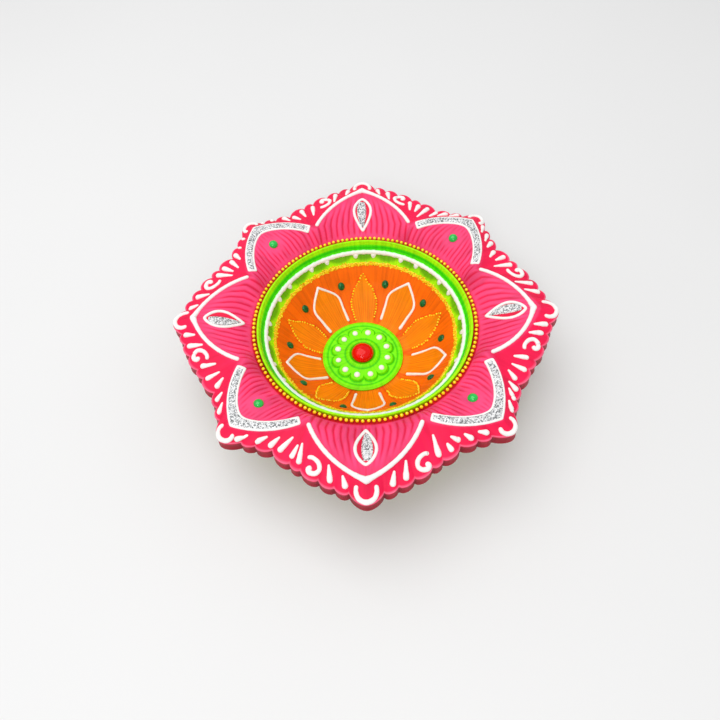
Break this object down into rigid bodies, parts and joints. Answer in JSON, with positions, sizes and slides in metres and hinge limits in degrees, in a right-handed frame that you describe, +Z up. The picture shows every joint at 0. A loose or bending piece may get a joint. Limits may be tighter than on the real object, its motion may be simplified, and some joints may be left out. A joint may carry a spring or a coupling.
{
  "type": "oil lamp",
  "caption": "Star-shaped clay oil lamp with a deep round oil bowl, scalloped petal rim, bead-edged mouth and piped, stone-set decoration.",
  "frame": {"origin": "middle of the flat foot that the lamp stands on", "axes": "+Z up along the bowl's axis, +Y towards the long point that is farthest from the viewer, +X to the viewer's right"},
  "size_m": [0.2, 0.2, 0.0492],
  "materials": {
    "pink_clay": "hot pink paint on fired clay, satin",
    "lime_clay": "lime green paint on fired clay, with an orange cone inside",
    "lime_disc": "lime green paint on fired clay, satin",
    "red_resin": "clear red, high gloss",
    "gold_beads": "yellow-gold, glossy",
    "gold_glitter": "gold glitter in clear glue",
    "silver_glitter": "silver glitter in clear glue",
    "white_paste": "white piped paste, matte",
    "green_stone": "green rhinestone, high gloss",
    "dark_green_stone": "dark green rhinestone, high gloss"
  },
  "bodies": {
    "root": {"star_rim": "pink_clay", "oil_bowl": "lime_clay", "centre_medallion": "lime_disc", "centre_cabochon": "red_resin", "bead_chain": "gold_beads", "gold_glitter_ring": "gold_glitter", "gold_petal_outline_1": "gold_glitter", "gold_petal_outline_2": "gold_glitter", "gold_petal_outline_3": "gold_glitter", "gold_petal_outline_4": "gold_glitter", "gold_petal_outline_5": "gold_glitter", "white_scallop_ring": "white_paste", "white_petal_outline_1": "white_paste", "white_petal_outline_2": "white_paste", "white_petal_outline_3": "white_paste", "white_petal_outline_4": "white_paste", "white_petal_outline_5": "white_paste", "bowl_gem_1": "dark_green_stone", "bowl_gem_2": "dark_green_stone", "bowl_gem_3": "dark_green_stone", "bowl_gem_4": "dark_green_stone", "bowl_gem_5": "dark_green_stone", "bowl_gem_6": "dark_green_stone", "bowl_gem_7": "dark_green_stone", "bowl_gem_8": "dark_green_stone", "bowl_gem_9": "dark_green_stone", "bowl_gem_10": "dark_green_stone", "rim_gem_1": "green_stone", "rim_gem_2": "green_stone", "rim_gem_3": "green_stone", "rim_gem_4": "green_stone", "silver_crescent_1": "silver_glitter", "silver_crescent_2": "silver_glitter", "silver_crescent_3": "silver_glitter", "silver_crescent_4": "silver_glitter", "leaf_glitter_1": "silver_glitter", "leaf_glitter_2": "silver_glitter", "leaf_glitter_3": "silver_glitter", "leaf_glitter_4": "silver_glitter", "leaf_outline_1": "white_paste", "leaf_outline_2": "white_paste", "leaf_outline_3": "white_paste", "leaf_outline_4": "white_paste", "petal_arch_1": "white_paste", "petal_arch_2": "white_paste", "petal_arch_3": "white_paste", "petal_arch_4": "white_paste", "tip_loop_1": "white_paste", "tip_loop_2": "white_paste", "tip_loop_3": "white_paste", "tip_loop_4": "white_paste", "tip_loop_5": "white_paste", "tip_loop_6": "white_paste", "tip_loop_7": "white_paste", "tip_loop_8": "white_paste"}
  },
  "joints": []
}
